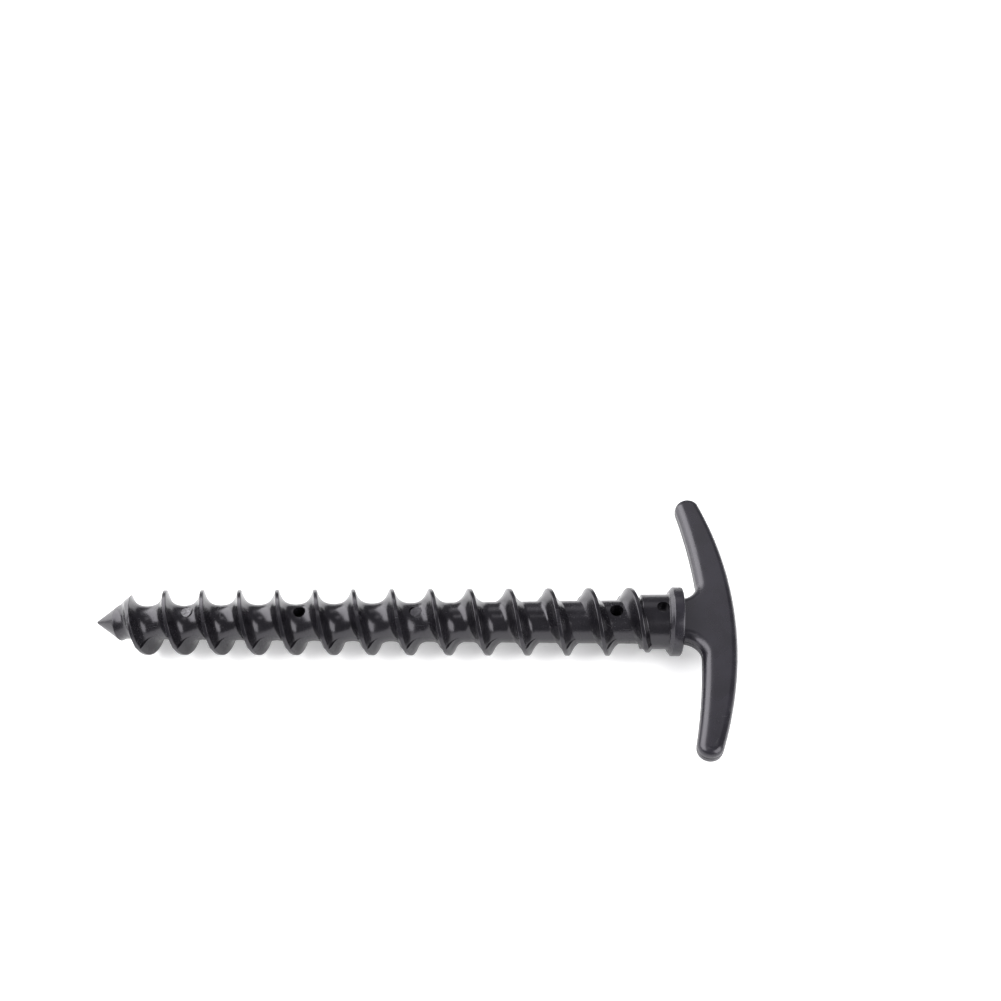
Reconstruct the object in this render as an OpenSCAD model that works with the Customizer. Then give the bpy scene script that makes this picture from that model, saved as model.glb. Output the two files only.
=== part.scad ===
// Screw-in tent stake with a T-shaped grip.
// Frame: the point of the stake is the origin, +X runs along the shank to the grip,
// +Y runs along the grip's arms, and +Z is square to the flat faces of the grip.
// All sizes are in millimetres.

/* [Overall] */
// Length from the point to the crown of the grip
total_l = 144.8; // [142.8:0.1:146.8]
// Radius at the very end of the point, which a mould leaves a little blunt
point_r = 0.2; // [0.1:0.05:0.4]
// Length of the cone at the point
point_l = 5.1; // [4.6:0.1:5.6]

/* [Screw] */
// Diameter over the crest of the thread
thread_d = 15.1; // [14.4:0.1:15.1]
// Distance between neighbouring crests along the shank
pitch = 8.774; // [8.7:0.002:8.85]
// Place of the crest, measured along the shank, where the thread first crosses +Y
crest_start = 7.0; // [6.8:0.1:7.2]
// Width of the flat land on the crest
land_w = 0.9; // [0.6:0.1:1.2]
// Distance in which the thread's flank falls to about a third of its height, near the point
point_fall = 0.93; // [0.8:0.01:1.1]
// The same distance near the neck
neck_fall = 1.4; // [1.2:0.05:1.6]
// Distance from the land to the foot of the flank, near the neck
neck_run = 1.9; // [1.7:0.1:2.2]
// Shank diameter behind the point
shank_tip_d = 7.58; // [7.2:0.02:7.8]
// Shank diameter where it meets the neck
shank_neck_d = 9.74; // [9.2:0.02:10]

/* [Neck and collar] */
// Diameter of the plain neck behind the thread
neck_d = 12.1; // [11.6:0.1:12.6]
// Diameter of the collar
collar_d = 15.2; // [15.2:0.1:15.8]
// Thickness of the collar along the shank
collar_t = 2.9; // [2.6:0.1:3]
// Place of the collar's front face, measured from the point
collar_x = 130.4; // [130.2:0.1:130.8]
// Diameter of the collar's front face, which slopes out to the full diameter
collar_lip_d = 13.4; // [13:0.1:14]
// Length of that slope
collar_slope = 0.7; // [0.5:0.1:0.9]
// Size of the chamfer on the collar's back edge
collar_chamfer = 0.35; // [0.2:0.05:0.5]

/* [Grip] */
// Length over both arms
grip_l = 70; // [67:0.5:73]
// Thickness between the flat faces
grip_t = 4.6; // [4.2:0.1:5.2]
// Radius of the crown, the curved back edge
crown_r = 105; // [100:1:112]
// Width of the grip on its centre line, front edge to crown
grip_w = 7.5; // [7.2:0.1:7.8]
// Radius of the rounded arm ends
arm_end_r = 2.75; // [2.65:0.05:2.85]
// Radius of the rounded edges round the flat faces
edge_r = 1.4; // [1:0.1:1.6]
// Width of the web between the collar and the arms
web_w = 11.1; // [10.6:0.1:11.6]
// Radius of the fillets where the web runs into the arms
web_fillet_r = 4; // [3.7:0.1:4.2]

/* [Core] */
// Diameter of the core rod
core_d = 3.2; // [2.8:0.1:3.4]
// Wall between the start of the core rod and the point
core_start = 14; // [13:0.5:16]
// Length of the core rod inside the grip
core_in_grip = 5; // [4:0.5:6]
// Diameter of the locating marks along the shank
mark_d = 2.8; // [2.4:0.1:3]

/* [Hidden] */

black = [0.13, 0.125, 0.14];
core_black = [0.2, 0.2, 0.21];

// Screw: steps of the helical grid in a turn, and the axial places of its rows in a pitch
steps = 24;
step_angle = 360 / steps;
ridge_rows = [-3.4, -1.7, -0.95, -0.5 * land_w];
rows = concat([-pitch / 2], ridge_rows, [for (k = [3:-1:0]) -ridge_rows[k]], [pitch / 2]);
last_row = len(rows) - 1;
point_run = (pitch - land_w) / 2;

// The flank changes from its shape near the point to its shape near the neck between these places
change_from = 60;
change_to = 105;

// Grid: it starts where the point ends and stops where the neck starts
neck_l = 6.1;
first_angle = 360 * (point_l + pitch / 2 - crest_start) / pitch;
shank_end = collar_x - neck_l;
columns = round((shank_end - point_l - pitch) / pitch * steps);
grid_end = point_l + pitch * (columns / steps + 1);
row_gap = 0.05;

// Neck: places of its rings, close together as far as the thread still stands out of it
neck_edge = 0.2;
ring_gap = 0.5;
runout_l = 5;
neck_rings = concat([for (x = [neck_edge:ring_gap:runout_l]) grid_end + x], [collar_x]);

// Run-out: the turn angle where the thread starts to sink into the neck, and how far it turns
runout_angle = 4860;
runout_turn = 108;

// Locating marks: place along and across the shank, and depth; the open ones stop in the core
flush = 0.35;
open = neck_d;
core_dip = 0.4;
marks = [[22.6, 0, flush], [48.8, -0.15, open], [75.1, -0.25, flush], [119.1, -0.4, open],
    [128.9, -0.5, 1.6]];

// Grip: the crown and palm arcs are centred on the shank's line, the arm ends touch both
collar_back = collar_x + collar_t;
crown_x = total_l;
palm_x = total_l - grip_w;
crown_centre_x = crown_x - crown_r;
arm_y = grip_l / 2 - arm_end_r;
arm_end_x = crown_centre_x + sqrt(pow(crown_r - arm_end_r, 2) - pow(arm_y, 2));
palm_reach = palm_x + arm_end_r;
palm_centre_x = (pow(palm_reach, 2) - pow(arm_end_x, 2) - pow(arm_y, 2))
    / (2 * (palm_reach - arm_end_x));
palm_r = palm_x - palm_centre_x;
crown_end_angle = asin(arm_y / (crown_r - arm_end_r));
palm_end_angle = asin(arm_y / (palm_r + arm_end_r));

// Web: its fillets touch the palm arc, and it starts inside the collar
web_x = collar_x + collar_t / 2;
fillet_y = web_w / 2 + web_fillet_r;
fillet_angle = asin(fillet_y / palm_r);
fillet_x = palm_centre_x + palm_r * cos(fillet_angle) - web_fillet_r;
fillet_steps = 5;
arm_steps = 6;
end_steps = 5;
edge_steps = 3;

// Radius of the point and the tapered shank, carried on under the neck, and of the outside
function foot_r(x) =
    x < point_l ? point_r + (shank_tip_d / 2 - point_r) * x / point_l
    : shank_tip_d / 2 + (shank_neck_d - shank_tip_d) / 2 * (x - point_l) / (grid_end - point_l);
function shank_r(x) = x > grid_end + neck_edge / 2 ? neck_d / 2 : foot_r(x);

// Radius of the thread ridge at an axial distance from its crest line: a flat land, then a hollow
// flank, long and soft near the point, short and steep near the neck
function neckward(x) = min(1, max(0, (x - change_from) / (change_to - change_from)));
function ridge_r(offset, x, base) =
    let (
        fall = point_fall + (neck_fall - point_fall) * neckward(x),
        lowest = exp(-(point_run + (neck_run - point_run) * neckward(x)) / fall),
        share = (exp((land_w / 2 - abs(offset)) / fall) - lowest) / (1 - lowest)
    )
    min(thread_d / 2, base + (thread_d / 2 - base) * share);

// The cone of the point, carried on, trims the start of the thread
function point_cone_r(x) = shank_tip_d / 2 * x / point_l;

// The ridge sinks into the neck over its last part turn
function runout(angle) = min(1, max(0, (angle - runout_angle) / runout_turn));

// Outer radius at a place on the screw; turn_angle counts up along the thread
function screw_r(x, turn_angle) =
    let (
        crest_x = crest_start + pitch * turn_angle / 360,
        nearest = round((x - crest_x) / pitch),
        angle = turn_angle + 360 * nearest,
        foot = foot_r(x),
        ridge = min(ridge_r(x - crest_x - pitch * nearest, x, foot), point_cone_r(x))
    )
    max(shank_r(x), ridge - (ridge - foot) * runout(angle));

function screw_point(x, angle) =
    let (r = screw_r(x, angle)) [x, r * cos(angle), r * sin(angle)];

function crest_at(column) = crest_start + pitch * (first_angle + column * step_angle) / 360;
function column_angle(column) = first_angle + column * step_angle;

// Lead-in strip: rows of the turn before the grid, held behind the point's cone
function lead_x(column, row) =
    max(point_l + row * min(row_gap, 0.4 * pitch * column / steps / last_row),
        crest_at(column) - pitch + rows[row]);

// Lead-out strip: rows of the turn after the grid, held in front of the neck
function trail_x(column, row) =
    min(grid_end - (last_row - row) * min(row_gap, 0.4 * pitch * (steps - column) / steps / last_row),
        crest_at(columns - steps + column) + pitch + rows[row]);

// Vertex numbers of the four blocks: lead-in, grid, lead-out and neck rings, then the point
grid_0 = (steps - 1) * last_row;
trail_0 = grid_0 + (columns + 1) * last_row;
closing = trail_0 + (steps - 1) * (last_row + 1);
neck_0 = closing + 1;
point_0 = neck_0 + len(neck_rings) * steps;

function grid_id(column, row) =
    row < last_row ? grid_0 + column * last_row + row
    : column + steps <= columns ? grid_0 + (column + steps) * last_row
    : column == columns ? closing
    : trail_id(column + steps - columns, 0);
function lead_id(column, row) =
    column == 0 ? grid_id(0, 0)
    : column == steps ? grid_id(0, row)
    : row == last_row ? grid_id(column, 0)
    : (column - 1) * last_row + row;
function trail_id(column, row) =
    column == 0 ? grid_id(columns, row)
    : column == steps ? closing
    : trail_0 + (column - 1) * (last_row + 1) + row;
function neck_id(ring, column) =
    ring < 0 ? trail_id(column % steps, last_row) : neck_0 + ring * steps + column % steps;

screw_points = concat(
    [for (c = [1:steps - 1], r = [0:last_row - 1]) screw_point(lead_x(c, r), column_angle(c))],
    [for (c = [0:columns], r = [0:last_row - 1]) screw_point(crest_at(c) + rows[r], column_angle(c))],
    [for (c = [1:steps - 1], r = [0:last_row])
        screw_point(trail_x(c, r), column_angle(columns - steps + c))],
    [screw_point(grid_end, column_angle(columns))],
    [for (x = neck_rings, c = [0:steps - 1]) screw_point(x, column_angle(columns + c))],
    [for (c = [0:steps - 1])
        [0, point_r * cos(column_angle(c)), point_r * sin(column_angle(c))]]
);

function two_triangles(a, b, c, d) = [[a, b, c], [a, c, d]];

screw_faces = concat(
    [for (r = [0:last_row - 1]) [lead_id(0, 0), lead_id(1, r + 1), lead_id(1, r)]],
    [for (c = [1:steps - 1], r = [0:last_row - 1], t = two_triangles(
        lead_id(c, r), lead_id(c, r + 1), lead_id(c + 1, r + 1), lead_id(c + 1, r))) t],
    [for (c = [0:columns - 1], r = [0:last_row - 1], t = two_triangles(
        grid_id(c, r), grid_id(c, r + 1), grid_id(c + 1, r + 1), grid_id(c + 1, r))) t],
    [for (c = [0:steps - 2], r = [0:last_row - 1], t = two_triangles(
        trail_id(c, r), trail_id(c, r + 1), trail_id(c + 1, r + 1), trail_id(c + 1, r))) t],
    [for (r = [0:last_row - 1]) [trail_id(steps - 1, r), trail_id(steps - 1, r + 1), closing]],
    [for (ring = [0:len(neck_rings) - 1], c = [0:steps - 1], t = two_triangles(
        neck_id(ring - 1, c), neck_id(ring, c), neck_id(ring, c + 1), neck_id(ring - 1, c + 1))) t],
    [[for (c = [steps - 1:-1:0]) neck_id(len(neck_rings) - 1, c)]],
    [for (c = [0:steps - 1], t = two_triangles(
        point_0 + c, lead_id(c, 0), lead_id(c + 1, 0), point_0 + (c + 1) % steps)) t],
    [[for (c = [0:steps - 1]) point_0 + c]]
);

// Grip outline: a chain of points from the centre line to an arm's end along the palm side,
// and a matching chain along the crown; inset moves both inwards for the rounded edges
function on_arc(centre, r, angle) = [centre[0] + r * cos(angle), centre[1] + r * sin(angle)];
function palm_side(inset) = concat(
    [[web_x, web_w / 2 - inset]],
    [for (k = [1:fillet_steps]) on_arc([fillet_x, fillet_y], web_fillet_r + inset,
        90 * k / fillet_steps - 90)],
    [for (k = [1:arm_steps]) on_arc([palm_centre_x, 0], palm_r + inset,
        fillet_angle + (palm_end_angle - fillet_angle) * k / arm_steps)]
);
function palm_chain(inset) = concat(
    palm_side(inset),
    [for (k = [1:end_steps]) on_arc([arm_end_x, arm_y], arm_end_r - inset,
        180 + palm_end_angle - (90 + palm_end_angle) * k / end_steps)]
);

// Crown points lie straight across the grip from the palm points
crown_angles = concat(
    [for (k = [0:fillet_steps + arm_steps - 1]) asin(palm_side(edge_r)[k][1] / (crown_r - edge_r))],
    [crown_end_angle]
);
function crown_chain(inset) = concat(
    [for (angle = crown_angles) on_arc([crown_centre_x, 0], crown_r - inset, angle)],
    [for (k = [1:end_steps - 1]) on_arc([arm_end_x, arm_y], arm_end_r - inset,
        crown_end_angle + (90 - crown_end_angle) * k / end_steps)]
);
function mirrored(chain) = [for (p = chain) [p[0], -p[1]]];
function backwards(chain) = [for (k = [len(chain) - 1:-1:0]) chain[k]];
function grip_ring(inset) = concat(
    [[web_x, 0]], palm_chain(inset), backwards(crown_chain(inset)),
    [[crown_x - inset, 0]], mirrored(crown_chain(inset)), backwards(mirrored(palm_chain(inset)))
);

chain_len = len(palm_chain(0));
ring_len = 4 * chain_len;
edge_angles = [for (k = [0:edge_steps]) 90 * k / edge_steps];
levels = concat(
    [for (t = backwards(edge_angles)) [edge_r - edge_r * cos(t), -grip_t / 2 + edge_r - edge_r * sin(t)]],
    [for (t = edge_angles) [edge_r - edge_r * cos(t), grip_t / 2 - edge_r + edge_r * sin(t)]]
);
top_level = len(levels) - 1;
grip_points = [for (level = levels) for (p = grip_ring(level[0])) [p[0], p[1], level[1]]];

// The flat faces are strips of quads between matching points of the two chains
function palm_id(k, side) = side > 0 ? k : (ring_len - k) % ring_len;
function crown_id(k, side) = 2 * chain_len - side * k;
function strip(k, side, level) =
    let (
        base = level * ring_len,
        quad = [palm_id(k, side), palm_id(k + 1, side), crown_id(k + 1, side), crown_id(k, side)],
        ids = [for (id = quad) base + id],
        up = (level > 0) == (side > 0)
    )
    up ? ids : backwards(ids);
function split_quad(q) = [[q[0], q[1], q[2]], [q[0], q[2], q[3]]];
function end_corner(side, level) =
    let (
        base = level * ring_len,
        last = chain_len - 1,
        ids = [base + palm_id(last, side), base + palm_id(chain_len, side), base + crown_id(last, side)]
    )
    (level > 0) == (side > 0) ? ids : backwards(ids);
grip_faces = concat(
    [for (level = [0, top_level], side = [-1, 1], k = [0:chain_len - 2],
        t = split_quad(strip(k, side, level))) t],
    [for (level = [0, top_level], side = [-1, 1]) end_corner(side, level)],
    [for (level = [0:top_level - 1], k = [0:ring_len - 1], t = two_triangles(
        level * ring_len + k, level * ring_len + (k + 1) % ring_len,
        (level + 1) * ring_len + (k + 1) % ring_len, (level + 1) * ring_len + k)) t]
);

// Collar, standing on its front face: slope, cylinder and back chamfer
module collar() {
    land_end = collar_t - collar_chamfer;
    cylinder(d1 = collar_lip_d, d2 = collar_d, h = collar_slope, $fn = 96);
    translate([0, 0, collar_slope])
        cylinder(d = collar_d, h = land_end - collar_slope, $fn = 96);
    translate([0, 0, land_end])
        cylinder(d1 = collar_d, d2 = collar_d - 2 * collar_chamfer, h = collar_chamfer, $fn = 96);
}

// Grip: T-shaped handle with rounded edges, its web and the collar the screw butts against
module t_grip() {
    color(black)
    difference() {
        union() {
            polyhedron(points = grip_points, faces = grip_faces, convexity = 6);
            translate([collar_x, 0, 0]) rotate([0, 90, 0]) collar();
        }
        translate([collar_x - 1, 0, 0]) rotate([0, 90, 0])
            cylinder(d = core_d, h = collar_t + core_in_grip + 1, $fn = 64);
    }
}

// Screw: point, tapered shank, thread and neck, bored for the core, with locating marks
module screw_sleeve() {
    color(black)
    difference() {
        polyhedron(points = screw_points, faces = screw_faces, convexity = 20);
        translate([core_start, 0, 0]) rotate([0, 90, 0])
            cylinder(d = core_d, h = collar_x - core_start + 1, $fn = 64);
        for (mark = marks, side = [-1, 1])
            let (floor_z = max(shank_r(mark[0]) - mark[2], core_d / 2 - core_dip))
            translate([mark[0], mark[1], side > 0 ? floor_z : -floor_z - neck_d])
                cylinder(d = mark_d, h = neck_d, $fn = 32);
    }
}

// Core: plain rod through the shank into the grip
module core_rod() {
    color(core_black)
    translate([core_start, 0, 0]) rotate([0, 90, 0])
        cylinder(d = core_d, h = collar_back + core_in_grip - core_start, $fn = 64);
}

t_grip();
screw_sleeve();
core_rod();
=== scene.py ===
"""Looks for a screw-in tent stake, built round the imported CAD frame.

The stake lies along +X with its point at the origin; +Y runs along the arms of its grip, and
+Z is square to the grip's flat faces. The CAD sleeve and grip are replaced by finer meshes of
the same mouldings; the CAD core rod stays. Sizes are in millimetres until a mesh is made.
"""
import math

import bmesh
import bpy
import numpy as np
from mathutils import Matrix, Vector


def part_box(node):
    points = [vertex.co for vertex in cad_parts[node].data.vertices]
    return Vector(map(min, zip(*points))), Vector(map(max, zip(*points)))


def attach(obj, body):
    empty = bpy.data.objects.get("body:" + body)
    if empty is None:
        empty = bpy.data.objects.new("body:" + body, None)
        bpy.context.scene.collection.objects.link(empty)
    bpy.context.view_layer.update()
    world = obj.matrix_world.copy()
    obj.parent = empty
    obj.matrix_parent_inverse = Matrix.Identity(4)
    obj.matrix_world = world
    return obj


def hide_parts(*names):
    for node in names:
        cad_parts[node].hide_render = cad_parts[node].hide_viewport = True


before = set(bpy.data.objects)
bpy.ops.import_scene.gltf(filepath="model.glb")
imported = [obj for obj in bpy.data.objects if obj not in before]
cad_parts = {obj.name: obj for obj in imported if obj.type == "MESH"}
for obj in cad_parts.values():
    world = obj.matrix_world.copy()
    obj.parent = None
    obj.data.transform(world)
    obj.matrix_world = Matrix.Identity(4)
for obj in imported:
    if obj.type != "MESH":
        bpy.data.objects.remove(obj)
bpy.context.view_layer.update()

MM = 0.001

# ---- Sizes read from the frame -------------------------------------------------------------
screw_low, screw_high = (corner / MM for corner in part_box("screw_sleeve"))
grip_low, grip_high = (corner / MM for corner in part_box("t_grip"))
rod_low, rod_high = (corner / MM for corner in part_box("core_rod"))
CROWN_X = grip_high.x
GRIP_HALF = grip_high.y
COLLAR_X = grip_low.x
COLLAR_R = grip_high.z
CORE_R = rod_high.z
CORE_START = rod_low.x
CORE_END = rod_high.x
CREST_R = screw_high.z

# ---- Screw: the driving sizes that its CAD solid has too -----------------------------------
POINT_LENGTH = 5.1
POINT_BLUNT = 0.2
PITCH = 8.774
CREST_START = 7.0
LAND_HALF = 0.45
FLANK_FALL = (0.93, 1.4)  # the flank's height falls e-fold in this distance: point half, neck half
FLANK_RUN = (3.93, 1.9)  # and it meets the shank this far from the land
CHANGE_FROM = 60
CHANGE_TO = 105
SHANK_TIP_R = 3.79
SHANK_NECK_R = 4.87
NECK_START = 124.45
NECK_R = 6.05
RUNOUT_START = 13.5  # in turns
RUNOUT_TURNS = 0.3
CREST_ROUNDING = 0.45
CREASE_ROUNDING = 0.16

# Grid of the thread: columns in a turn, first column, and rows from a crest to mid-valley
STEPS = 96
STEP_ANGLE = 360 / STEPS
FIRST_ANGLE = 105.0
ROW_OFFSETS = [0, 0.18, 0.28, 0.35, 0.41, 0.47, 0.53, 0.61, 0.72, 0.87, 1.07, 1.32, 1.62,
               1.95, 2.3, 2.65, 3.05, 3.5, 3.95]
ROW_GAP = 0.02  # least distance between rows where the first and last turns are squeezed
POINT_ROUNDING = (0, 0.45, 0.75, 0.93, 1)  # shares of the full radius over the blunt tip
RELIEF_SAMPLES = 72
STEP_REACH = 0.4  # the step up to the neck gets a finer grid this far either side

# Open locating marks: place along and across the shank, diameter and depth
OPEN_MARKS = [
    (48.8, -0.15, 2.8, 9.0),
    (119.1, -0.4, 2.9, 9.0),
    (128.9, -0.5, 2.7, 1.6),
]
# Marks filled by a plug: place along and across the shank, direction of the open gap beside the
# plug in degrees from +X towards +Y, and the plug's colour
PLUGS = [
    # The first plug's light grey is partly its own paler colour and partly painted highlight
    (22.6, 0, -35, (0.12, 0.118, 0.124)),
    (75.1, -0.25, 140, (0.016, 0.015, 0.018)),
]
PLUG_D = 2.8
CRESCENT_SPAN = 150
CRESCENT_WIDTH = 0.42
CRESCENT_EDGE = 0.02
CRESCENT_DEPTH = 1.1
CORE_DIP = 0.4  # a deep mark ends this far inside the core

# ---- Grip: the driving sizes that its CAD solid has too ------------------------------------
GRIP_T = 4.6
GRIP_W = 7.5
CROWN_R = 105
ARM_END_R = 2.75
EDGE_R = 1.4
PALM_EDGE_REACH = 2.1  # the palm side is rounder: this far in from its edge, and this far down
PALM_EDGE_DROP = 1.75
EDGE_LEAD = 0.12  # the flat face starts this far inside the rounded edge
WEB_W = 11.1
WEB_FILLET_R = 4
COLLAR_T = 2.9
COLLAR_LIP_R = 6.7  # the collar's front face slopes out from here to its full radius
COLLAR_SLOPE = 0.7
COLLAR_EDGE_R = 0.45
SEAM_PROUD = 0.06  # the moulding's parting line stands this proud of the grip's side walls
SEAM_HALF = 0.1
SEAM_FOOT = 0.5  # half the height of the flat side wall
NIB_R = 0.32
NIB_Y = 2.5

# Steps along the grip's outline: web fillet, palm side, arm end, and crown side to the middle
FILLET_STEPS = 20
PALM_STEPS = 28
ARM_STEPS = 28
CROWN_STEPS = 40

WELD = 0.006
FINE_WELD = 0.0001
AXIS_R = 0.0001  # radius at which a turned solid starts, so that its ends close
BORE_GAP = 0.02
SCREW_SHARP = 32  # edges at a larger angle, in degrees, are shaded sharp
GRIP_SHARP = 30


# ---- Mesh helpers --------------------------------------------------------------------------
def mesh_object(name, points, faces, weld=WELD):
    """Makes an object from points in millimetres; welds, faces outwards and sets smooth shading."""
    bm = bmesh.new()
    verts = [bm.verts.new(Vector(p) * MM) for p in points]
    for face in faces:
        bm.faces.new([verts[k] for k in face])
    bmesh.ops.remove_doubles(bm, verts=bm.verts, dist=weld * MM)
    bmesh.ops.recalc_face_normals(bm, faces=bm.faces)
    mesh = bpy.data.meshes.new(name)
    bm.to_mesh(mesh)
    bm.free()
    obj = bpy.data.objects.new(name, mesh)
    bpy.context.scene.collection.objects.link(obj)
    shade(obj, SCREW_SHARP)
    return obj


def shade(obj, sharp_degrees):
    obj.data.shade_smooth()
    obj.data.set_sharp_from_angle(angle=math.radians(sharp_degrees))


def grid_faces(across, along, start=0):
    """Quads of a sheet of points stored column by column."""
    return [(start + c * along + r, start + c * along + r + 1,
             start + (c + 1) * along + r + 1, start + (c + 1) * along + r)
            for c in range(across - 1) for r in range(along - 1)]


def join_sheets(sheets):
    """Points and quads of several sheets, each an array of shape (columns, rows, 3)."""
    points = []
    faces = []
    for sheet in sheets:
        faces += grid_faces(sheet.shape[0], sheet.shape[1], len(points))
        points += sheet.reshape(-1, 3).tolist()
    return points, faces


def turned(name, profile, segments=128):
    """Closed solid of revolution round the X axis from a profile of (x, radius) points."""
    angles = np.linspace(0, 2 * math.pi, segments, endpoint=False)
    points = [(x, r * math.cos(a), r * math.sin(a)) for a in angles for x, r in profile]
    count = len(profile)
    faces = [(s * count + k, s * count + (k + 1) % count,
              (s + 1) % segments * count + (k + 1) % count, (s + 1) % segments * count + k)
             for s in range(segments) for k in range(count)]
    return mesh_object(name, points, faces)


def combine(target, others, operation):
    """Joins solids to the target or cuts them out of it, and removes them."""
    for other in others:
        step = target.modifiers.new("step", "BOOLEAN")
        step.operation = operation
        step.solver = "EXACT"
        step.object = other
        bpy.context.view_layer.objects.active = target
        bpy.ops.object.modifier_apply(modifier=step.name)
        bpy.data.objects.remove(other)


def quarter(share):
    """Height of a quarter-round: 0 to 1 as share goes from 0 to 1."""
    return np.sqrt(np.clip(1 - (1 - np.clip(share, 0, 1)) ** 2, 0, 1))


def round_max(a, b, width):
    """The larger of two heights, with a round blend where they are closer than width."""
    near = np.clip(1 - np.abs(a - b) / width, 0, 1)
    return np.maximum(a, b) + near ** 2 * width / 4


def round_min(a, b, width):
    return -round_max(-a, -b, width)


# ---- Screw ---------------------------------------------------------------------------------
def crest_x(angle):
    """Place of the crest along the shank; angle counts up along the thread, in degrees."""
    return CREST_START + PITCH * angle / 360


def foot_r(x):
    """Radius of the point and of the tapered shank, carried on under the neck."""
    cone = POINT_BLUNT + (SHANK_TIP_R - POINT_BLUNT) * x / POINT_LENGTH
    taper = SHANK_TIP_R + (SHANK_NECK_R - SHANK_TIP_R) * (x - POINT_LENGTH) / (NECK_START - POINT_LENGTH)
    return round_min(cone, taper, CREASE_ROUNDING)


def shank_r(x):
    """Radius of the point, the tapered shank and the plain neck, without the thread."""
    foot, edge, lip = 0.35, 0.3, 0.25
    before = SHANK_NECK_R + foot * (1 - quarter((NECK_START - x) / foot))
    after = NECK_R - edge + edge * quarter((x - NECK_START) / edge)
    end = NECK_R + lip * (1 - quarter((COLLAR_X - x) / lip))
    shank = np.where(x > NECK_START - foot, np.where(x < NECK_START, before, after), foot_r(x))
    return np.where(x > COLLAR_X - lip, end, shank)


def ridge_r(offset, x, base):
    """Radius of the thread ridge at an axial distance from its crest: land, round edge, hollow flank."""
    neckward = np.clip((x - CHANGE_FROM) / (CHANGE_TO - CHANGE_FROM), 0, 1)
    fall = FLANK_FALL[0] + (FLANK_FALL[1] - FLANK_FALL[0]) * neckward
    run = FLANK_RUN[0] + (FLANK_RUN[1] - FLANK_RUN[0]) * neckward
    lowest = np.exp(-run / fall)
    share = (np.exp((LAND_HALF - np.abs(offset)) / fall) - lowest) / (1 - lowest)
    return round_min(CREST_R, base + (CREST_R - base) * share, CREST_ROUNDING)


def screw_r(x, angle):
    """Radius of the screw before the mould's halves fill its undercuts."""
    turn = np.round((x - CREST_START) / PITCH - angle / 360) + angle / 360
    foot = foot_r(x)
    ridge = ridge_r(x - CREST_START - PITCH * turn, x, foot)
    point_cone = SHANK_TIP_R / POINT_LENGTH * x
    ridge = round_min(ridge, point_cone, CREASE_ROUNDING)
    sink = np.clip((turn - RUNOUT_START) / RUNOUT_TURNS, 0, 1)
    return np.maximum(shank_r(x), ridge - (ridge - foot) * sink)


def moulded_r(x, angle, pole):
    """Radius in one mould half, which pulls off towards its pole (90 or 270 degrees): whatever
    stands over a place on the way out fills that place, down to the parting plane."""
    aside = np.abs(np.cos(np.radians(angle)))
    best = screw_r(x, angle)
    for share in np.linspace(0, 1, RELIEF_SAMPLES)[1:-1]:
        over = angle + (pole - angle) * share
        reach = screw_r(x, over) * np.abs(np.cos(np.radians(over))) / np.maximum(aside, 1e-6)
        best = np.maximum(best, np.where(aside > 1e-3, reach, 0))
    return best


def columns_between(first, last):
    """(angle, pole) of each column; the parting plane gets one column from each mould half."""
    columns = []
    for k in range(round((last - first) / STEP_ANGLE) + 1):
        angle = first + k * STEP_ANGLE
        pole = 90 if angle % 360 < 180 else 270
        if angle % 180 == 0:
            columns.append((angle, 360 - pole))
        columns.append((angle, pole))
    return columns


def screw_points(x, columns):
    """Points on the screw at places x, an array of shape (columns, rows)."""
    turned_angle = [360 if angle % 360 == 0 and pole == 270 else angle % 360 for angle, pole in columns]
    angle = np.array(turned_angle, float)[:, None] + 0 * x
    pole = np.array([pole for _, pole in columns], float)[:, None] + 0 * x
    r = moulded_r(x, angle, pole)
    return np.stack([x, r * np.cos(np.radians(angle)), r * np.sin(np.radians(angle))], axis=-1)


def thread_rows():
    """Places of the rows along the shank, measured from the crest."""
    inner = np.array(ROW_OFFSETS)
    return np.concatenate([[-PITCH / 2], -inner[:0:-1], inner, [PITCH / 2]])[None, :]


def crests(columns):
    return np.array([crest_x(angle) for angle, _ in columns])[:, None]


def progress(columns):
    """0 to 1 from the first column to the last."""
    angles = np.array([angle for angle, _ in columns])[:, None]
    return (angles - angles[0]) / (angles[-1] - angles[0])


def point_places(stop):
    """Places along the blunt point and up to the start of the thread's grid."""
    return np.concatenate([[0, 0.02, 0.06, 0.12, 0.2],
                           np.linspace(0.5, POINT_LENGTH - 0.3, 10),
                           np.linspace(POINT_LENGTH - 0.2, stop, 10)])


def neck_places(start):
    """Places from the end of the thread's grid over the step and along the neck to the collar."""
    step = np.linspace(NECK_START - STEP_REACH, NECK_START + STEP_REACH, 33)
    return np.concatenate([[start], step[step > start],
                           np.linspace(NECK_START + 0.46, COLLAR_X - 0.9, 78),
                           np.linspace(COLLAR_X - 0.6, COLLAR_X - 0.28, 4),
                           np.linspace(COLLAR_X - 0.25, COLLAR_X, 8)])


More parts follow.
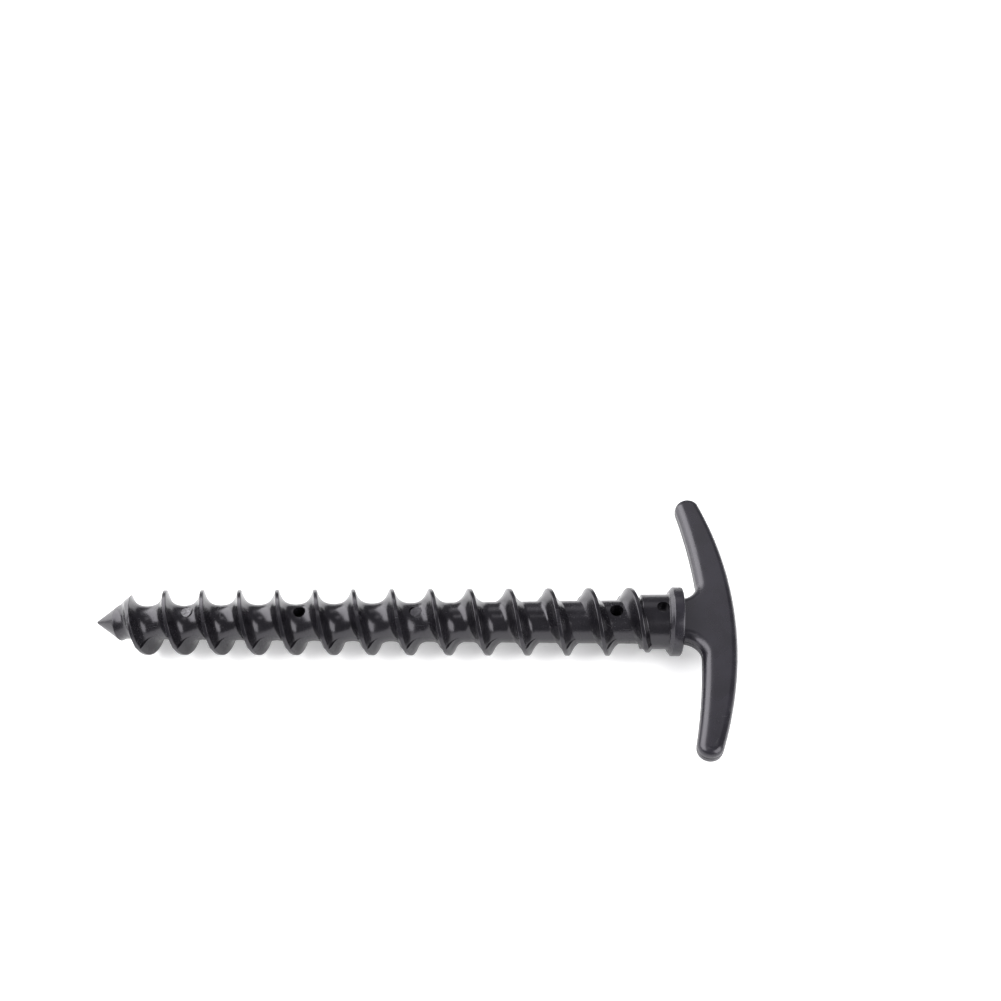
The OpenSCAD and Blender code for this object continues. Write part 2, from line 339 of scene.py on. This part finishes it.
def screw_sheets():
    """Sheets of the screw: lead-in, thread, lead-out, neck, point and the fan that closes the end."""
    rows = thread_rows()
    number = np.arange(rows.size)[None, :]
    last_row = number.max()
    room = NECK_START - STEP_REACH - crest_x(FIRST_ANGLE) - PITCH / 2
    last_angle = FIRST_ANGLE + STEP_ANGLE * math.floor(room / PITCH * STEPS)
    columns = columns_between(FIRST_ANGLE, last_angle)
    first_turn = columns_between(FIRST_ANGLE, FIRST_ANGLE + 360)
    last_turn = columns_between(last_angle - 360, last_angle)
    start = crest_x(FIRST_ANGLE) - PITCH / 2
    stop = crest_x(last_angle) + PITCH / 2

    gap = np.minimum(ROW_GAP, 0.4 * PITCH * progress(first_turn) / last_row)
    lead_in = np.maximum(start + gap * number, crests(first_turn) - PITCH + rows)
    gap = np.minimum(ROW_GAP, 0.4 * PITCH * (1 - progress(last_turn)) / last_row)
    lead_out = np.minimum(stop - gap * (last_row - number), crests(last_turn) + PITCH + rows)

    point = screw_points(np.tile(point_places(start), (len(first_turn), 1)), first_turn)
    point[:, :len(POINT_ROUNDING), 1:] *= np.array(POINT_ROUNDING)[None, :, None]
    end = screw_points(np.full((len(last_turn), 1), COLLAR_X), last_turn)
    return [
        screw_points(lead_in, first_turn),
        screw_points(crests(columns) + rows, columns),
        screw_points(lead_out, last_turn),
        screw_points(np.tile(neck_places(stop), (len(last_turn), 1)), last_turn),
        point,
        np.concatenate([end, end * [1, 0, 0]], axis=1),
    ]


def upright(name, outline, low, high):
    """Closed prism along Z from an outline of (x, y) points."""
    count = len(outline)
    points = [(x, y, low) for x, y in outline] + [(x, y, high) for x, y in outline]
    faces = [(k, (k + 1) % count, count + (k + 1) % count, count + k) for k in range(count)]
    faces += [tuple(range(count - 1, -1, -1)), tuple(range(count, 2 * count))]
    return mesh_object(name, points, faces, FINE_WELD)


def circle(x, y, diameter, count=48):
    return [(x + diameter / 2 * math.cos(2 * math.pi * k / count),
             y + diameter / 2 * math.sin(2 * math.pi * k / count)) for k in range(count)]


def crescent(x, y, middle, count=24):
    """Outline of the gap beside a plug, widest in the direction middle."""
    shares = np.linspace(-1, 1, count)
    angles = np.radians(middle + shares * CRESCENT_SPAN / 2)
    outer = PLUG_D / 2
    inner = outer - CRESCENT_EDGE - CRESCENT_WIDTH * np.cos(shares * math.pi / 2)
    outside = [(x + outer * math.cos(a), y + outer * math.sin(a)) for a in angles]
    inside = [(x + r * math.cos(a), y + r * math.sin(a)) for a, r in zip(angles, inner)]
    return outside + inside[::-1]


def mark_floor(x, depth):
    return max(float(shank_r(np.array(x))) - depth, CORE_R - CORE_DIP)


def mark_cutters():
    """One cutter per mark: a round hole, or the gap beside a plug; the neck's mark is on both sides."""
    cutters = []
    for x, y, middle, _ in PLUGS:
        floor = mark_floor(x, CRESCENT_DEPTH)
        cutters.append(upright("mark_cutter", crescent(x, y, middle), floor, CREST_R + 1))
    for x, y, diameter, depth in OPEN_MARKS:
        floor = mark_floor(x, depth)
        outline = circle(x, y, diameter)
        cutters.append(upright("mark_cutter", outline, floor, CREST_R + 1))
        if x > NECK_START:
            cutters.append(upright("mark_cutter", outline, -CREST_R - 1, -floor))
    return cutters


def bore_cutter(name, start, end):
    r = CORE_R + BORE_GAP
    return turned(name, [(start, AXIS_R), (start, r), (end, r), (end, AXIS_R)], 64)


def build_screw():
    screw = mesh_object("screw_body", *join_sheets(screw_sheets()))
    combine(screw, [bore_cutter("bore_cutter", CORE_START, COLLAR_X + 1)], "DIFFERENCE")
    combine(screw, mark_cutters(), "DIFFERENCE")
    shade(screw, SCREW_SHARP)
    return screw


# ---- Grip ----------------------------------------------------------------------------------
def on_arc(centre, radius, degrees):
    a = math.radians(degrees)
    return (centre[0] + radius * math.cos(a), centre[1] + radius * math.sin(a))


def spaced(start, end, count):
    """Values after start up to and including end."""
    return [start + (end - start) * k / count for k in range(1, count + 1)]


def grip_outline(inset):
    """Outline of the grip seen square to its flat faces, drawn in by inset."""
    crown_centre = (CROWN_X - CROWN_R, 0)
    arm_y = GRIP_HALF - ARM_END_R
    arm_x = crown_centre[0] + math.sqrt((CROWN_R - ARM_END_R) ** 2 - arm_y ** 2)
    palm_x = CROWN_X - GRIP_W
    reach = palm_x + ARM_END_R
    palm_centre = ((reach ** 2 - arm_x ** 2 - arm_y ** 2) / (2 * (reach - arm_x)), 0)
    palm_r = palm_x - palm_centre[0]
    fillet_y = WEB_W / 2 + WEB_FILLET_R
    fillet_end = math.degrees(math.asin(fillet_y / (palm_r - WEB_FILLET_R)))
    fillet_x = palm_centre[0] + (palm_r - WEB_FILLET_R) * math.cos(math.radians(fillet_end))
    crown_end = math.degrees(math.asin(arm_y / (CROWN_R - ARM_END_R)))
    palm_end = math.degrees(math.asin(arm_y / (palm_r + ARM_END_R)))

    fillet_centre = (fillet_x, fillet_y)
    fillet_r = WEB_FILLET_R + inset
    upper = [(COLLAR_X + COLLAR_T / 2, WEB_W / 2 - inset), on_arc(fillet_centre, fillet_r, -90)]
    for centre, radius, first, last, steps in [
            (fillet_centre, fillet_r, -90, fillet_end, FILLET_STEPS),
            (palm_centre, palm_r + inset, fillet_end, palm_end, PALM_STEPS),
            ((arm_x, arm_y), ARM_END_R - inset, 180 + palm_end, crown_end, ARM_STEPS),
            (crown_centre, CROWN_R - inset, crown_end, 0, CROWN_STEPS)]:
        upper += [on_arc(centre, radius, a) for a in spaced(first, last, steps)]
    lower = [(x, -y) for x, y in upper[-2::-1]]
    return upper + lower


def edge_profile(reach, drop):
    """(inset, z) of the grip's rim from one flat face to the other, with the parting line's ridge."""
    half = GRIP_T / 2
    curve = [(SEAM_PROUD + reach * (1 - math.cos(a)), half - drop * (1 - math.sin(a)))
             for a in np.radians(np.linspace(90, 0, 17))]
    wall = [(SEAM_PROUD, SEAM_FOOT), (SEAM_PROUD, SEAM_HALF), (0, SEAM_HALF * 0.4)]
    top = [(SEAM_PROUD + reach + EDGE_LEAD, half)] + curve + wall
    return top + [(inset, -z) for inset, z in top[::-1]]


def crown_share():
    """Share of the crown side's edge at each outline point: 0 up to the palm side, 1 on the crown."""
    upper = [0] * (2 + FILLET_STEPS + PALM_STEPS) + spaced(0, 1, ARM_STEPS) + [1] * CROWN_STEPS
    return upper + upper[-2::-1]


def build_t_bar():
    """The grip's closed outline, swept through its edge profile from one flat face to the other."""
    rings = []
    share = crown_share()
    for palm, crown in zip(edge_profile(PALM_EDGE_REACH, PALM_EDGE_DROP), edge_profile(EDGE_R, EDGE_R)):
        ring = []
        for near, far, s in zip(grip_outline(palm[0]), grip_outline(crown[0]), share):
            ring.append(tuple(a + (b - a) * s for a, b in zip((*near, palm[1]), (*far, crown[1]))))
        rings.append(ring)
    count = len(rings[0])
    points = [p for ring in rings for p in ring]
    faces = [(k * count + i, k * count + (i + 1) % count,
              (k + 1) * count + (i + 1) % count, (k + 1) * count + i)
             for k in range(len(rings) - 1) for i in range(count)]
    faces += [tuple(range(count)), tuple(range(len(points) - 1, len(points) - count - 1, -1))]
    return mesh_object("grip_body", points, faces, FINE_WELD)


def corner_round(x, r, radius, first, last, count=6):
    """(x, r) points of a round corner centred at (x, r), from one direction to another in degrees."""
    return [on_arc((x, r), radius, a) for a in np.linspace(first, last, count)]


def build_collar():
    """The collar: sloped lip, land and rounded back edge, turned round the shank's axis."""
    back = COLLAR_X + COLLAR_T
    land = COLLAR_X + COLLAR_SLOPE
    lip_round = 0.12
    land_round = 0.3
    inner_rings = (3, 6)  # rings on the flat ends, which keep their faces short
    profile = [(COLLAR_X, AXIS_R), (COLLAR_X, inner_rings[0])]
    profile += corner_round(COLLAR_X + lip_round, COLLAR_LIP_R - lip_round, lip_round, 180, 110)
    profile += corner_round(land + 0.2, COLLAR_R - land_round, land_round, 135, 90)
    profile += [(land + 0.8, COLLAR_R)]
    profile += corner_round(back - COLLAR_EDGE_R, COLLAR_R - COLLAR_EDGE_R, COLLAR_EDGE_R, 90, 0, 9)
    profile += [(back, r) for r in inner_rings[::-1]] + [(back, AXIS_R)]
    return turned("collar", profile, 144)


def build_nib(bands=12, around=24):
    """The small moulding nib, a ball in the corner between the collar and the web."""
    x, y, z = COLLAR_X + COLLAR_T + NIB_R / 2, NIB_Y, GRIP_T / 2
    points = []
    for height in np.radians(np.linspace(-90, 90, bands + 1)):
        for turn in np.radians(np.linspace(0, 360, around, endpoint=False)):
            points.append((x + NIB_R * math.cos(height) * math.cos(turn),
                           y + NIB_R * math.cos(height) * math.sin(turn),
                           z + NIB_R * math.sin(height)))
    faces = [(r * around + c, r * around + (c + 1) % around,
              (r + 1) * around + (c + 1) % around, (r + 1) * around + c)
             for r in range(bands) for c in range(around)]
    return mesh_object("nib", points, faces, FINE_WELD)


def build_grip():
    grip = build_t_bar()
    combine(grip, [build_collar()], "UNION")
    combine(grip, [build_nib()], "UNION")
    combine(grip, [bore_cutter("grip_bore_cutter", COLLAR_X - 1, CORE_END)], "DIFFERENCE")
    shade(grip, GRIP_SHARP)
    return grip


# ---- Materials -----------------------------------------------------------------------------
SCREW_BLACK = (0.0060, 0.0055, 0.0070)
GRIP_BLACK = (0.0110, 0.0102, 0.0135)
# A lighter grey: painted highlight along convex edges, and the colour of scuffs
SHEEN_AND_SCUFF_GREY = (0.0300, 0.0290, 0.0320)
CORE_BLACK = (0.012, 0.012, 0.013)
GLOSS_TINT = (0.96, 0.93, 1.0, 1)
SCREW_ROUGHNESS = 0.25
GRIP_ROUGHNESS = 0.27
ROUGHNESS_SPREAD = 0.025
SCREW_GRAIN = 0.003  # heights of the grain, of a scratch and of a plug's surface, in millimetres
GRIP_GRAIN = 0.004
SCUFF_DEPTH = 0.004
PLUG_RELIEF = 0.25
EDGE_SHEEN_TINT = 0.5  # shares of the lighter grey that edges take on as painted highlight and that scuffs take on
SCUFF_TINT = 0.45
EDGE_SHEEN_DULLING = 0.06  # what they and the plugs add to the roughness
SCUFF_DULLING = 0.12
PLUG_DULLING = 0.25
PLUG_EDGE = 0.12
FLOOR_LOW = (0.88, 0.88, 0.88)
FLOOR_HIGH = (0.92, 0.92, 0.92)
FLOOR_GLOW = 0.35


def add_node(tree, kind, inputs=(), **settings):
    """Adds a shader node; an input is given a value or another node's output."""
    node = tree.nodes.new(kind)
    for key, value in settings.items():
        setattr(node, key, value)
    for key, value in dict(inputs).items():
        if isinstance(value, bpy.types.NodeSocket):
            tree.links.new(value, node.inputs[key])
        else:
            node.inputs[key].default_value = value
    return node


def noise(tree, place, size, detail=2, stretch=(1, 1, 1)):
    """Cloudy noise from about 0.3 to 0.7, in patches of about size millimetres."""
    mapping = add_node(tree, "ShaderNodeMapping", {"Vector": place, "Scale": stretch})
    inputs = {"Vector": mapping.outputs["Vector"], "Scale": 1 / (size * MM), "Detail": detail}
    return add_node(tree, "ShaderNodeTexNoise", inputs).outputs["Fac"]


def ramp(tree, value, low, high, start=0.0, end=1.0):
    """Runs from start to end, smoothly, as value goes from low to high."""
    inputs = {"Value": value, "From Min": low, "From Max": high, "To Min": start, "To Max": end}
    return add_node(tree, "ShaderNodeMapRange", inputs, interpolation_type="SMOOTHSTEP").outputs["Result"]


def maths(tree, operation, a, b):
    node = add_node(tree, "ShaderNodeMath", {0: a, 1: b}, operation=operation)
    return node.outputs[0]


def mix_colour(tree, share, a, b):
    node = add_node(tree, "ShaderNodeMix", {0: share}, data_type="RGBA")
    for socket, colour in ((node.inputs[6], a), (node.inputs[7], b)):
        if isinstance(colour, bpy.types.NodeSocket):
            tree.links.new(colour, socket)
        else:
            socket.default_value = (*colour, 1)
    return node.outputs[2]


def scaled(colour, factor):
    return tuple(channel * factor for channel in colour)


def new_material(name):
    """A material, its node tree, its shader, and the place on the object in metres."""
    material = bpy.data.materials.new(name)
    material.use_nodes = True
    tree = material.node_tree
    place = add_node(tree, "ShaderNodeTexCoord").outputs["Object"]
    return material, tree, tree.nodes["Principled BSDF"], place


def connect(tree, shader, inputs):
    for key, value in inputs.items():
        if isinstance(value, bpy.types.NodeSocket):
            tree.links.new(value, shader.inputs[key])
        else:
            shader.inputs[key].default_value = value


def bump(tree, height):
    """Surface normals from heights in millimetres."""
    inputs = {"Height": height, "Strength": 1.0, "Distance": MM}
    return add_node(tree, "ShaderNodeBump", inputs).outputs["Normal"]


def scuff_mask(tree, place):
    """Short thin scratches in a few patches."""
    lines = ramp(tree, noise(tree, place, 3.2, 1, (1, 9, 9)), 0.67, 0.7)
    other = ramp(tree, noise(tree, place, 2.6, 1, (8, 1, 8)), 0.68, 0.71)
    patch = ramp(tree, noise(tree, place, 9, 1), 0.54, 0.62)
    return maths(tree, "MULTIPLY", maths(tree, "MAXIMUM", lines, other), patch)


def plug_mask(tree, place, plug_x, plug_y):
    """1 on a plug, on the screw's upper side."""
    flat = add_node(tree, "ShaderNodeVectorMath", {0: place, 1: (1, 1, 0)}, operation="MULTIPLY")
    middle = (plug_x * MM, plug_y * MM, 0)
    away = add_node(tree, "ShaderNodeVectorMath", {0: flat.outputs[0], 1: middle}, operation="DISTANCE")
    plug_r = PLUG_D / 2
    disc = ramp(tree, away.outputs["Value"], (plug_r - PLUG_EDGE) * MM, plug_r * MM, 1.0, 0.0)
    height = add_node(tree, "ShaderNodeSeparateXYZ", {0: place}).outputs["Z"]
    return maths(tree, "MULTIPLY", disc, ramp(tree, height, 0, MM))


def add_share(tree, value, mask, amount):
    """The value plus the mask times the amount."""
    return maths(tree, "ADD", value, maths(tree, "MULTIPLY", mask, amount))


def moulded_plastic(name, colour, roughness, grain, plugs=()):
    """Black moulded plastic: mottled colour and gloss, a fine grain, painted highlight on convex edges,
    which are also duller, and light scuffs.
    """
    material, tree, shader, place = new_material(name)
    cloud = ramp(tree, noise(tree, place, 6, 3), 0.35, 0.65)
    speck = noise(tree, place, 0.4, 2)
    scuff = scuff_mask(tree, place)
    # Painted highlight: convex edges, found by pointiness, are lightened in colour and made duller
    edge = ramp(tree, add_node(tree, "ShaderNodeNewGeometry").outputs["Pointiness"], 0.53, 0.6)
    edge_sheen = maths(tree, "MULTIPLY", edge, ramp(tree, noise(tree, place, 1.5, 3), 0.42, 0.6, 0.25, 1.0))

    skin = mix_colour(tree, cloud, scaled(colour, 0.8), scaled(colour, 1.25))
    skin = mix_colour(tree, maths(tree, "MULTIPLY", edge_sheen, EDGE_SHEEN_TINT), skin, SHEEN_AND_SCUFF_GREY)
    skin = mix_colour(tree, maths(tree, "MULTIPLY", scuff, SCUFF_TINT), skin, SHEEN_AND_SCUFF_GREY)
    gloss = add_share(tree, roughness - ROUGHNESS_SPREAD, cloud, 2 * ROUGHNESS_SPREAD)
    gloss = add_share(tree, gloss, edge_sheen, EDGE_SHEEN_DULLING)
    gloss = add_share(tree, gloss, scuff, SCUFF_DULLING)
    height = add_share(tree, maths(tree, "MULTIPLY", speck, grain), scuff, -SCUFF_DEPTH)
    for plug_x, plug_y, _, grey in plugs:
        plug = plug_mask(tree, place, plug_x, plug_y)
        rough = noise(tree, place, 0.45, 3)
        # A plug's mottled tone; the first plug's light grey is partly painted highlight
        tone = mix_colour(tree, ramp(tree, rough, 0.4, 0.6), scaled(grey, 0.55), scaled(grey, 1.5))
        skin = mix_colour(tree, plug, skin, tone)
        gloss = add_share(tree, gloss, plug, PLUG_DULLING)
        height = add_share(tree, height, maths(tree, "MULTIPLY", plug, rough), PLUG_RELIEF)
    connect(tree, shader, {"Base Color": skin, "Roughness": gloss, "Normal": bump(tree, height),
                           "Specular Tint": GLOSS_TINT})
    return material


def core_plastic():
    """The hidden core rod: dull black plastic with a drawn grain along its length."""
    material, tree, shader, place = new_material("core_plastic")
    drawn = noise(tree, place, 1.2, 2, (0.1, 1, 1))
    tone = mix_colour(tree, drawn, scaled(CORE_BLACK, 0.7), scaled(CORE_BLACK, 1.3))
    height = maths(tree, "MULTIPLY", drawn, 0.02)
    connect(tree, shader, {"Base Color": tone, "Roughness": ramp(tree, drawn, 0.3, 0.7, 0.45, 0.6),
                           "Normal": bump(tree, height)})
    return material


def floor_paper():
    """White paper with a faint fibre, slightly self-lit so that only soft shadows show on it."""
    material, tree, shader, place = new_material("floor_paper")
    fibre = noise(tree, place, 0.8, 3)
    tone = mix_colour(tree, fibre, FLOOR_LOW, FLOOR_HIGH)
    connect(tree, shader, {"Base Color": tone, "Roughness": 0.9, "Specular IOR Level": 0.1,
                           "Emission Color": (1, 1, 1, 1), "Emission Strength": FLOOR_GLOW})
    return material


# ---- Scene ---------------------------------------------------------------------------------
CAMERA_PLACE = Vector((97.57, -154.46, 201.82))
CAMERA_LOOK = Vector((-0.1228, 0.5419, -0.8314))  # the way the camera looks, and its upward direction
CAMERA_UP = Vector((-0.0078, 0.8372, 0.5469))
CAMERA_LENS = 40.46
LENS_SHIFT = {"shift_x": 0.1233, "shift_y": 0.2061}
SENSOR = 36
CAMERA_NEAR = 5
SHIFT_REACH = 0.5  # the lens shift holds this near to the camera's own place
LIGHT_TARGET = Vector((70, 0, 0))
# Soft boxes: azimuth from +X towards +Y and elevation above the floor in degrees, distance from
# the target, width, height, and radiance
SOFT_BOXES = {
    "key": (160, 44, 640, 1150, 520, 5.8),
    "low_left": (146, 10, 640, 620, 230, 3.4),
    "right": (328, 30, 600, 520, 460, 4.8),
    "top": (215, 82, 700, 180, 180, 2.0),
    "back": (80, 50, 800, 340, 340, 0.8),
}
WORLD_GREY = (0.3, 0.3, 0.32, 1)
FLOOR_HALF = 3000


def place_camera():
    """A shift-lens camera; its shift holds only where it stands, so moved elsewhere it looks straight."""
    data = bpy.data.cameras.new("camera")
    data.lens = CAMERA_LENS
    data.sensor_width = SENSOR
    data.clip_start = CAMERA_NEAR * MM
    camera = bpy.data.objects.new("camera", data)
    bpy.context.scene.collection.objects.link(camera)
    back = -CAMERA_LOOK.normalized()
    right = CAMERA_UP.cross(back).normalized()
    turn = Matrix((right, back.cross(right), back)).transposed().to_4x4()
    camera.matrix_world = Matrix.Translation(CAMERA_PLACE * MM) @ turn
    for channel, shift in LENS_SHIFT.items():
        driver = data.driver_add(channel).driver
        place = driver.variables.new()
        place.name = "x"
        place.type = "TRANSFORMS"
        place.targets[0].id = camera
        place.targets[0].transform_type = "LOC_X"
        driver.expression = f"{shift} if abs(x - {CAMERA_PLACE.x * MM:.5f}) < {SHIFT_REACH * MM} else 0"
    bpy.context.scene.camera = camera


def soft_box(name, azimuth, elevation, distance, width, height, radiance):
    """A rectangular area light round the stake that faces the light target."""
    data = bpy.data.lights.new(name, "AREA")
    data.shape = "RECTANGLE"
    data.size = width * MM
    data.size_y = height * MM
    data.energy = radiance * math.pi * data.size * data.size_y
    light = bpy.data.objects.new(name, data)
    bpy.context.scene.collection.objects.link(light)
    a, e = math.radians(azimuth), math.radians(elevation)
    way = Vector((math.cos(a) * math.cos(e), math.sin(a) * math.cos(e), math.sin(e)))
    light.location = (LIGHT_TARGET + way * distance) * MM
    light.rotation_euler = (-way).to_track_quat("-Z", "Y").to_euler()


def build_floor():
    """A wide floor that touches the collar from below."""
    corners = [(x * FLOOR_HALF, y * FLOOR_HALF, -COLLAR_R) for x, y in [(-1, -1), (1, -1), (1, 1), (-1, 1)]]
    floor = mesh_object("floor", corners, [(0, 1, 2, 3)])
    floor.data.materials.append(floor_paper())


def set_world():
    world = bpy.data.worlds.new("studio")
    world.use_nodes = True
    world.node_tree.nodes["Background"].inputs["Color"].default_value = WORLD_GREY
    bpy.context.scene.world = world
    bpy.context.scene.view_settings.view_transform = "Standard"


def main():
    screw = build_screw()
    grip = build_grip()
    screw_plastic = moulded_plastic("screw_plastic", SCREW_BLACK, SCREW_ROUGHNESS, SCREW_GRAIN, PLUGS)
    grip_plastic = moulded_plastic("grip_plastic", GRIP_BLACK, GRIP_ROUGHNESS, GRIP_GRAIN)
    for piece, node, slot, plastic in [(screw, "screw_sleeve", "screw_plastic", screw_plastic),
                                       (grip, "t_grip", "grip_plastic", grip_plastic)]:
        piece.data.materials.clear()
        piece.data.materials.append(plastic)
        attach(piece, "root")
        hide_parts(node)
    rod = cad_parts["core_rod"]
    rod.data.materials.clear()
    rod.data.materials.append(core_plastic())
    build_floor()
    set_world()
    for name, values in SOFT_BOXES.items():
        soft_box(name, *values)
    place_camera()


main()
